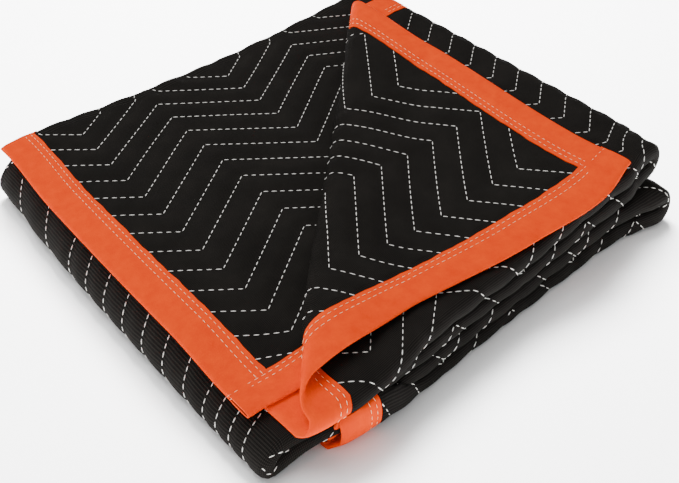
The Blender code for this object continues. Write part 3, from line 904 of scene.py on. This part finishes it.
# %% Thread
def spun_thread(name, light, dark):
    """Spun polyester thread."""
    finish, tree, shader = new_finish(name, 0.7)
    place = add_node(tree, "ShaderNodeTexCoord").outputs["Object"]
    ply = noise(tree, place, 1 / 900, 1.0)
    colour_ramp(tree, shader, ply, (0.35, 0.65), (dark, light))
    return finish


quilting_finish = spun_thread("white_spun_thread", "#f4f2ee", "#cfccc6")
tape_thread_finish = spun_thread("cream_spun_thread", "#ffdcae", "#f0b880")

# %% [markdown]
# Now the tree sews. Its inputs are set by their identifiers, the result is taken as a plain mesh, and the
# guide lines are removed.

# %% Sew the stitches
def sew(name, guide, tree, values):
    """The stitches along a guide's lines, as a plain mesh object."""
    modifier = guide.modifiers.new("sew", "NODES")
    modifier.node_group = tree
    for item in tree.interface.items_tree:
        if item.in_out == "INPUT" and item.name in values:
            modifier[item.identifier] = values[item.name]
    bpy.context.view_layer.update()
    graph = bpy.context.evaluated_depsgraph_get()
    mesh = bpy.data.meshes.new_from_object(guide.evaluated_get(graph))
    guide.modifiers.remove(modifier)
    bpy.data.objects.remove(guide)
    mesh.name = name
    piece = bpy.data.objects.new(name, mesh)
    bpy.context.scene.collection.objects.link(piece)
    print(name, len(mesh.polygons), "faces")
    return piece


tree = sewing_tree()
quilting = sew(
    "quilting_stitches", guide_mesh("quilting_guide", quilting_runs(), 0.0003), tree,
    {"Pitch": PITCH, "Stitch length": 0.0055, "Thread width": 0.00095, "Thread height": 0.0008,
     "Thread": quilting_finish},
)
tape_sewing = sew(
    "binding_stitches", guide_mesh("binding_guide", tape_runs(), 0.0002), tree,
    {"Pitch": 0.0064, "Stitch length": 0.0046, "Thread width": 0.0006, "Thread height": 0.0005,
     "Thread": tape_thread_finish},
)

# %% [markdown]
# Each piece now takes its finish, stands for its CAD node and rides on the one body, and the tape and thread
# go with the pad.

# %% Dress the part
pad.data.materials.append(cloth_finish)
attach(pad, "root")
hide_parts("pad_cloth")
for node, piece in strips.items():
    piece.data.materials.append(tape_finish)
    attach(piece, "root")
    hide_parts(node)
for piece in (quilting, tape_sewing):
    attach(piece, "root")

# %% [markdown]
# A plain pale floor and large soft lights, as in a catalogue picture. One lamp lights the floor alone, which
# keeps the background pale without greying the black cloth. The camera stands where the picture was taken
# from: about 1.15 m away, looking 39.5 degrees down.

# %% Floor
def pale_floor():
    """A wide matt floor."""
    mesh = bpy.data.meshes.new("floor")
    mesh.from_pydata([(-6, -6, 0), (6, -6, 0), (6, 6, 0), (-6, 6, 0)], [], [(0, 1, 2, 3)])
    floor = bpy.data.objects.new("floor", mesh)
    bpy.context.scene.collection.objects.link(floor)
    finish, _, shader = new_finish("pale_paper", 0.9)
    shader.inputs["Base Color"].default_value = from_hex("#fbfbfb")
    mesh.materials.append(finish)
    return floor


floor = pale_floor()

# %% Light
def soft_light(name, place, size, power):
    """A square area light that looks at the block."""
    lamp = bpy.data.lights.new(name, "AREA")
    lamp.shape = "SQUARE"
    lamp.size = size
    lamp.energy = power
    holder = bpy.data.objects.new(name, lamp)
    holder.location = place
    holder.rotation_mode = "QUATERNION"
    holder.rotation_quaternion = (Vector((0, 0, 0.05)) - Vector(place)).to_track_quat("-Z", "Y")
    bpy.context.scene.collection.objects.link(holder)
    return holder


soft_light("overhead", (-0.3, 0.5, 1.9), 1.6, 38)
soft_light("left_fill", (-1.8, -0.4, 0.9), 1.2, 6)
wash = soft_light("floor_wash", (0.55, 0.70, 1.50), 0.8, 235)
washed = bpy.data.collections.new("washed")
washed.objects.link(floor)
wash.light_linking.receiver_collection = washed
world = bpy.data.worlds.new("studio")
world.use_nodes = True
world.node_tree.nodes["Background"].inputs["Color"].default_value = (1, 1, 1, 1)
world.node_tree.nodes["Background"].inputs["Strength"].default_value = 0.75
bpy.context.scene.world = world

# %% Camera
CAMERA_AT = (-0.5793, -0.6946, 0.7110)
LOOKING = Vector((0.4960, 0.5911, -0.6361))
lens = bpy.data.cameras.new("camera")
lens.sensor_width = 36
lens.lens = 60.97
camera = bpy.data.objects.new("camera", lens)
camera.location = CAMERA_AT
camera.rotation_mode = "QUATERNION"
camera.rotation_quaternion = LOOKING.to_track_quat("-Z", "Y")
bpy.context.scene.collection.objects.link(camera)
bpy.context.scene.camera = camera
